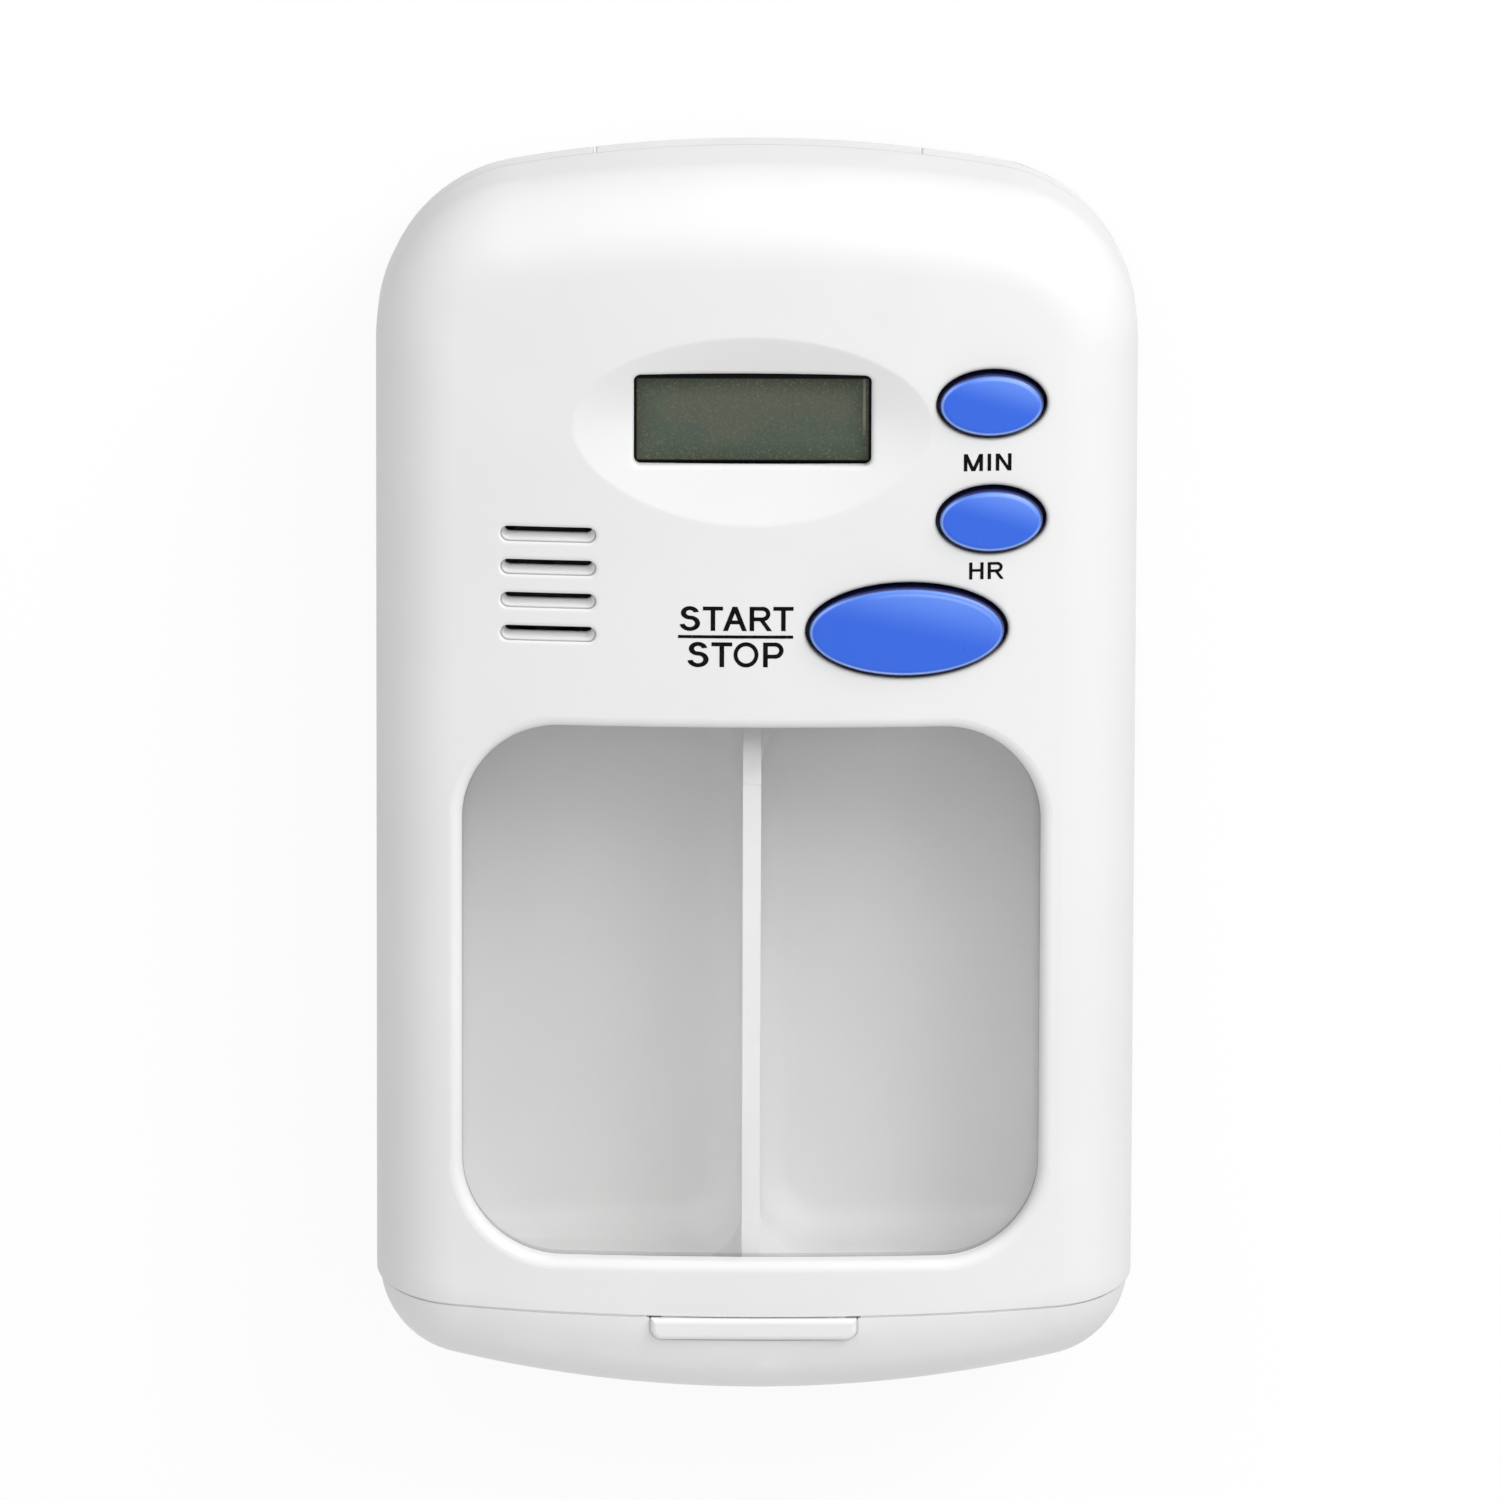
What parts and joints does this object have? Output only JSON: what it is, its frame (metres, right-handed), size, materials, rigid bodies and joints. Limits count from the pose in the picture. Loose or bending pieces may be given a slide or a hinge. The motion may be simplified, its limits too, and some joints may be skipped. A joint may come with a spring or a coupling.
{
  "type": "electronic pill organizer",
  "caption": "Pocket pill organizer with a hinged front cover that holds a timer display, push buttons, a sounder and a clear window over divided pill wells.",
  "frame": {"origin": "centre of the flat back face, under the middle of the bounding box", "axes": "+Z out of the front, +Y toward the hinged end above the display, +X to the right as seen from the front"},
  "size_m": [0.056, 0.0925, 0.0205],
  "materials": {
    "shell_white": "satin moulded",
    "inner_white": "fine sparked texture",
    "holder_white": "moulded",
    "plunger_white": "moulded",
    "button_blue": "polished, slightly translucent",
    "clear_pane": "clear polished plastic",
    "display_glass": "polarised display glass",
    "reflector": "pearl film",
    "strip_rubber": "layered silicone",
    "board_green": "solder mask",
    "resin_black": "cast resin",
    "contact_brass": "plain",
    "nickel": "nickel plated",
    "steel": "zinc plated"
  },
  "bodies": {
    "base": {"base_shell": "shell_white", "hinge_pin": "steel"},
    "cover": {"front_cover": "shell_white", "window_pane": "clear_pane", "lcd_panel": "display_glass", "lcd_reflector": "reflector", "lcd_holder": "holder_white", "zebra_strips": "strip_rubber", "main_board": "board_green", "controller_blob": "resin_black", "timing_crystal": "nickel", "buzzer": "resin_black", "switch_housings": "resin_black", "battery_cells": "nickel", "battery_contacts": "contact_brass", "battery_link": "nickel", "battery_door": "inner_white", "battery_door_screw": "steel", "inner_cover": "inner_white", "inner_cover_screws": "steel", "board_screws": "steel"},
    "minute_key": {"minute_button": "button_blue", "minute_plunger": "plunger_white"},
    "hour_key": {"hour_button": "button_blue", "hour_plunger": "plunger_white"},
    "start_stop_key": {"start_stop_button": "button_blue", "start_stop_plunger": "plunger_white"}
  },
  "joints": [
    {"name": "cover_hinge", "type": "hinge", "parent": "base", "child": "cover", "pos_m": [0, 0.04355, 0.0026], "axis": [-1, 0, 0], "range_deg": [0, 105]},
    {"name": "minute_press", "type": "slide", "parent": "cover", "child": "minute_key", "axis": [0, 0, -1], "range_m": [0, 0.0005], "stiffness_N_per_m": 2500},
    {"name": "hour_press", "type": "slide", "parent": "cover", "child": "hour_key", "axis": [0, 0, -1], "range_m": [0, 0.0005], "stiffness_N_per_m": 2500},
    {"name": "start_stop_press", "type": "slide", "parent": "cover", "child": "start_stop_key", "axis": [0, 0, -1], "range_m": [0, 0.0005], "stiffness_N_per_m": 2500}
  ]
}
